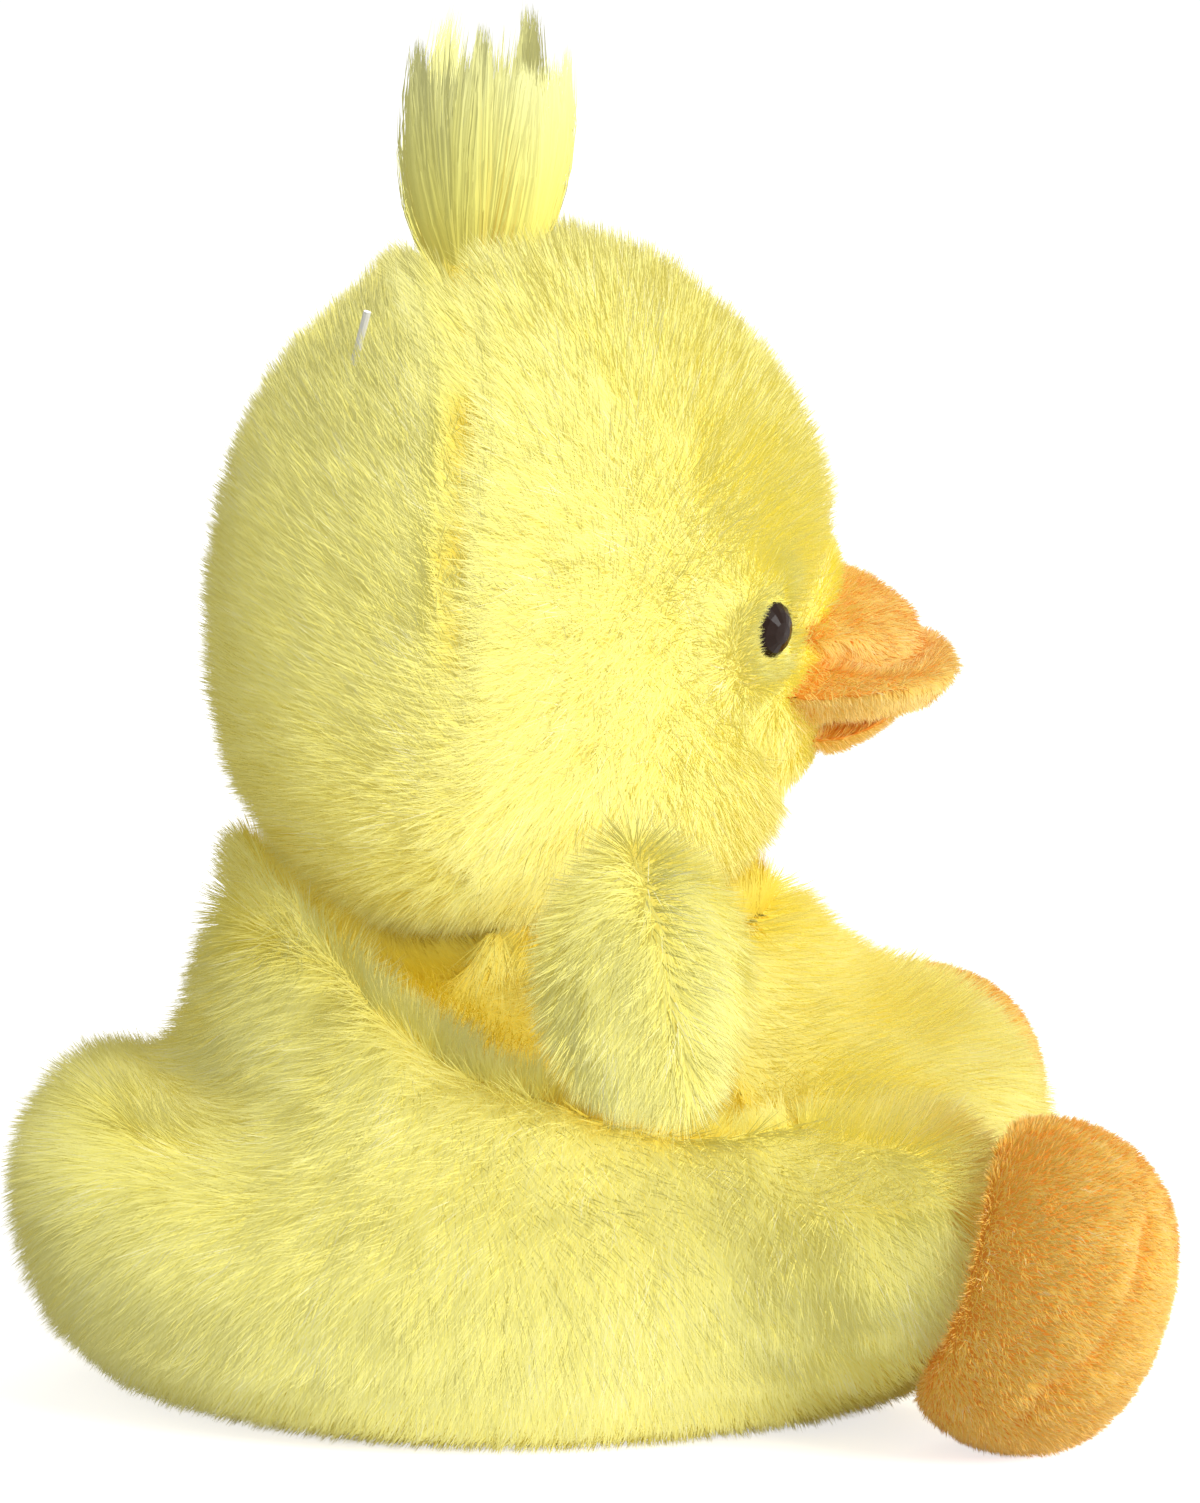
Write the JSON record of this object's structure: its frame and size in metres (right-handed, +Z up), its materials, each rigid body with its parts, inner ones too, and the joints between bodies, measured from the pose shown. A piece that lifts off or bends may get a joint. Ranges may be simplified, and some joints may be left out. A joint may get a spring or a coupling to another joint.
{
  "type": "plush duck",
  "caption": "Sitting plush duck with a bean-filled seat, round head on a soft neck, stub wings, orange bill and feet, and a pile crest.",
  "frame": {"origin": "on the resting plane, under the middle of the duck's length and width", "axes": "+Z up through the crest, -Y the way the duck faces, +X its left side"},
  "size_m": [0.0916, 0.0978, 0.1207],
  "materials": {
    "yellow_plush": "plush pile",
    "long_pile": "long plush pile",
    "orange_plush": "short plush pile",
    "polyester_fibre": "loose fibre filling",
    "pouch_cloth": "woven cloth over plastic pellets",
    "eye_plastic": "gloss",
    "washer_plastic": "moulded",
    "pin_nylon": "clear nylon"
  },
  "bodies": {
    "root": {"torso_panel": "yellow_plush", "torso_stuffing": "polyester_fibre", "right_side_panel": "yellow_plush", "left_side_panel": "yellow_plush", "base_panel": "yellow_plush", "bean_pouch": "pouch_cloth", "seat_stuffing": "polyester_fibre"},
    "neck": {"neck_stuffing": "polyester_fibre"},
    "head": {"face_panel": "yellow_plush", "head_back_panel": "yellow_plush", "head_stuffing": "polyester_fibre", "right_eye": "eye_plastic", "left_eye": "eye_plastic", "right_eye_washer": "washer_plastic", "left_eye_washer": "washer_plastic", "upper_bill": "orange_plush", "tag_pin": "pin_nylon"},
    "crest": {"crest_tuft": "long_pile"},
    "lower_bill": {"lower_bill": "orange_plush"},
    "right_wing": {"right_wing_front_panel": "yellow_plush", "right_wing_back_panel": "yellow_plush", "right_wing_stuffing": "polyester_fibre"},
    "left_wing": {"left_wing_front_panel": "yellow_plush", "left_wing_back_panel": "yellow_plush", "left_wing_stuffing": "polyester_fibre"},
    "right_foot": {"right_foot_upper": "orange_plush", "right_foot_sole": "orange_plush", "right_foot_stuffing": "polyester_fibre"},
    "left_foot": {"left_foot_upper": "orange_plush", "left_foot_sole": "orange_plush", "left_foot_stuffing": "polyester_fibre"}
  },
  "joints": [
    {"name": "head_turn", "type": "hinge", "parent": "root", "child": "neck", "pos_m": [0, 0.0029, 0.05105], "axis": [0, 0, 1], "range_deg": [-25, 25], "stiffness_Nm_per_rad": 0.06},
    {"name": "head_nod", "type": "hinge", "parent": "neck", "child": "head", "pos_m": [0, 0.0029, 0.05105], "axis": [1, 0, 0], "range_deg": [-7, 7], "stiffness_Nm_per_rad": 0.1},
    {"name": "crest_sway", "type": "hinge", "parent": "head", "child": "crest", "pos_m": [0, 0.00629, 0.1017], "axis": [1, 0, 0], "range_deg": [-15, 15], "stiffness_Nm_per_rad": 0.001},
    {"name": "lower_bill_flex", "type": "hinge", "parent": "head", "child": "lower_bill", "pos_m": [0, -0.02315, 0.05794], "axis": [1, 0, 0], "range_deg": [-2, 10], "stiffness_Nm_per_rad": 0.001},
    {"name": "right_wing_swing", "type": "hinge", "parent": "root", "child": "right_wing", "pos_m": [-0.0235, -0.0037, 0.0415], "axis": [0, 0, 1], "range_deg": [-15, 15], "stiffness_Nm_per_rad": 0.004},
    {"name": "left_wing_swing", "type": "hinge", "parent": "root", "child": "left_wing", "pos_m": [0.0235, -0.0037, 0.0415], "axis": [0, 0, 1], "range_deg": [-15, 15], "stiffness_Nm_per_rad": 0.004},
    {"name": "right_foot_flex", "type": "hinge", "parent": "root", "child": "right_foot", "pos_m": [-0.03, -0.0262, 0.01807], "axis": [-0.9397, 0.342, 0], "range_deg": [-4, 15], "stiffness_Nm_per_rad": 0.01},
    {"name": "left_foot_flex", "type": "hinge", "parent": "root", "child": "left_foot", "pos_m": [0.03, -0.0262, 0.01807], "axis": [-0.9397, -0.342, 0], "range_deg": [-4, 15], "stiffness_Nm_per_rad": 0.01}
  ]
}
